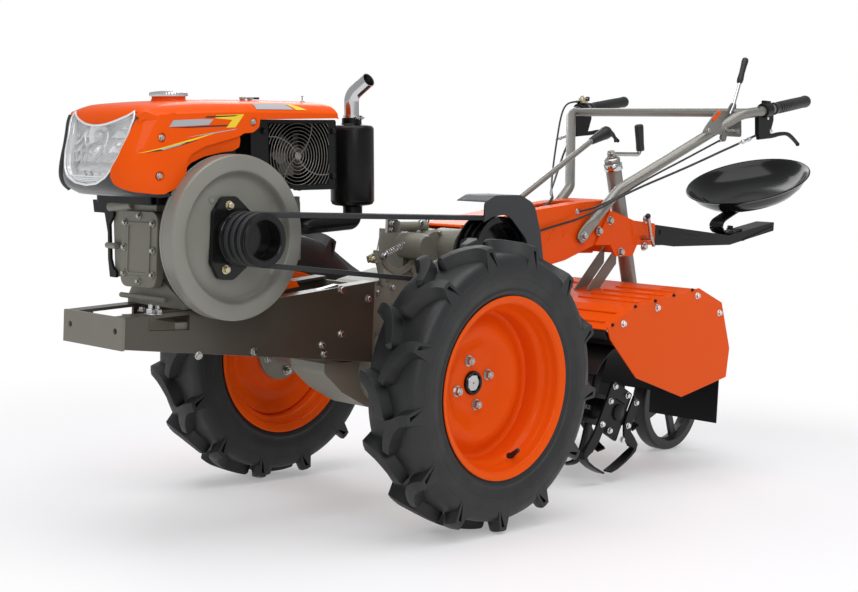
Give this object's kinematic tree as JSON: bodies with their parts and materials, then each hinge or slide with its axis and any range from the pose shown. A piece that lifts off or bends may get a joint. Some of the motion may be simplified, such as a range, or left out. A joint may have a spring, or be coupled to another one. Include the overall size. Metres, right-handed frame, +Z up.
{
  "type": "walking tractor with rotary tiller",
  "caption": "Two-wheel walking tractor: belt-driven front engine under a hood, lugged drive wheels, handlebars, dished seat, rear rotary tiller and a screw-lifted tail wheel.",
  "frame": {"origin": "On the floor, at the middle of the machine's overall length and width.", "axes": "+X is the machine's left, -Y is forward towards the headlight, +Z is up. The drive axle, crankshaft and rotor lie along X."},
  "size_m": [0.9556, 2.8386, 1.2509],
  "materials": {
    "orange_paint": "gloss",
    "black_paint": "satin",
    "grey_paint": "satin",
    "olive_paint": "satin",
    "cast_iron": "matte",
    "steel": "satin",
    "chrome": "polished",
    "muffler_paint": "matte",
    "tyre": "matte",
    "belt_rubber": "matte",
    "black_plastic": "matte",
    "dark_trim": "gloss",
    "clear_lens": "clear"
  },
  "bodies": {
    "chassis": {"frame_rail_left": "olive_paint", "frame_rail_right": "olive_paint", "front_bumper": "olive_paint", "frame_cross_members": "olive_paint", "crankcase": "cast_iron", "crankcase_cover": "cast_iron", "engine_side_bracket": "black_paint", "cylinder_head": "cast_iron", "hood": "orange_paint", "headlight_lens": "clear_lens", "headlight_housing": "dark_trim", "fuel_tank": "black_paint", "fuel_cap": "chrome", "radiator_housing": "black_paint", "muffler": "muffler_paint", "exhaust_outlet": "chrome", "drive_belts": "belt_rubber", "gearbox_case": "cast_iron", "clutch_linkage": "olive_paint", "belt_guard": "black_plastic", "main_beam": "orange_paint", "rear_bracket": "orange_paint", "clamp_handle": "steel", "seat_beam": "black_paint", "seat_spring": "black_paint", "seat_pan": "black_paint", "handlebar_left": "grey_paint", "handlebar_right": "grey_paint", "handlebar_crossbar": "grey_paint", "grips": "black_plastic", "brake_levers": "black_paint", "hand_lever": "steel", "throttle_lever": "steel", "shift_lever": "steel", "tiller_side_plates": "orange_paint", "tiller_cover": "orange_paint", "tiller_drive_case": "cast_iron", "tiller_cross_bars": "black_paint", "support_stays": "olive_paint", "lift_outer_tube": "chrome", "lift_crank": "steel", "control_cables": "black_plastic"},
    "left_wheel": {"tyre_left": "tyre", "rim_left": "orange_paint", "hub_left": "steel"},
    "right_wheel": {"tyre_right": "tyre", "rim_right": "orange_paint", "hub_right": "steel"},
    "flywheel_group": {"flywheel": "cast_iron", "engine_pulley": "cast_iron"},
    "fan_rotor": {"cooling_fan": "black_plastic"},
    "clutch_sheave": {"clutch_pulley": "cast_iron"},
    "tiller_rotor": {"rotor_shaft": "black_paint", "rotor_tines": "black_paint"},
    "tail_wheel_lift": {"tail_wheel_fork": "chrome"},
    "tail_wheel_body": {"tail_wheel": "black_plastic"},
    "flap_left": {"rear_flap_left": "black_paint"},
    "flap_right": {"rear_flap_right": "black_paint"}
  },
  "joints": [
    {"name": "left_wheel_spin", "type": "hinge", "parent": "chassis", "child": "left_wheel", "pos_m": [0.395, -0.54191, 0.352], "axis": [1, 0, 0], "continuous": true},
    {"name": "right_wheel_spin", "type": "hinge", "parent": "chassis", "child": "right_wheel", "pos_m": [-0.395, -0.54191, 0.352], "axis": [1, 0, 0], "continuous": true},
    {"name": "flywheel_spin", "type": "hinge", "parent": "chassis", "child": "flywheel_group", "pos_m": [0.15, -1.13791, 0.691], "axis": [1, 0, 0], "continuous": true},
    {"name": "clutch_pulley_spin", "type": "hinge", "parent": "chassis", "child": "clutch_sheave", "pos_m": [0.23, -0.35191, 0.661], "axis": [1, 0, 0], "continuous": true},
    {"name": "cooling_fan_spin", "type": "hinge", "parent": "chassis", "child": "fan_rotor", "pos_m": [0.095, -0.9127, 0.88218], "axis": [1, 0, 0], "continuous": true},
    {"name": "rotor_spin", "type": "hinge", "parent": "chassis", "child": "tiller_rotor", "pos_m": [0, 0.21409, 0.202], "axis": [1, 0, 0], "continuous": true},
    {"name": "tail_wheel_lift", "type": "slide", "parent": "chassis", "child": "tail_wheel_lift", "axis": [0, 0.3081, -0.9513], "range_m": [-0.1, 0.06]},
    {"name": "tail_wheel_spin", "type": "hinge", "parent": "tail_wheel_lift", "child": "tail_wheel_body", "pos_m": [0, 0.81509, 0.157], "axis": [1, 0, 0], "continuous": true},
    {"name": "left_flap_swing", "type": "hinge", "parent": "chassis", "child": "flap_left", "pos_m": [0.173, 0.65309, 0.302], "axis": [1, 0, 0], "range_deg": [-15, 70]},
    {"name": "right_flap_swing", "type": "hinge", "parent": "chassis", "child": "flap_right", "pos_m": [-0.173, 0.65309, 0.302], "axis": [1, 0, 0], "range_deg": [-15, 70]}
  ],
  "couplings": [
    {"joint": "clutch_pulley_spin", "follows": "flywheel_spin", "ratio": 0.62899},
    {"joint": "cooling_fan_spin", "follows": "flywheel_spin", "ratio": 1.2}
  ]
}
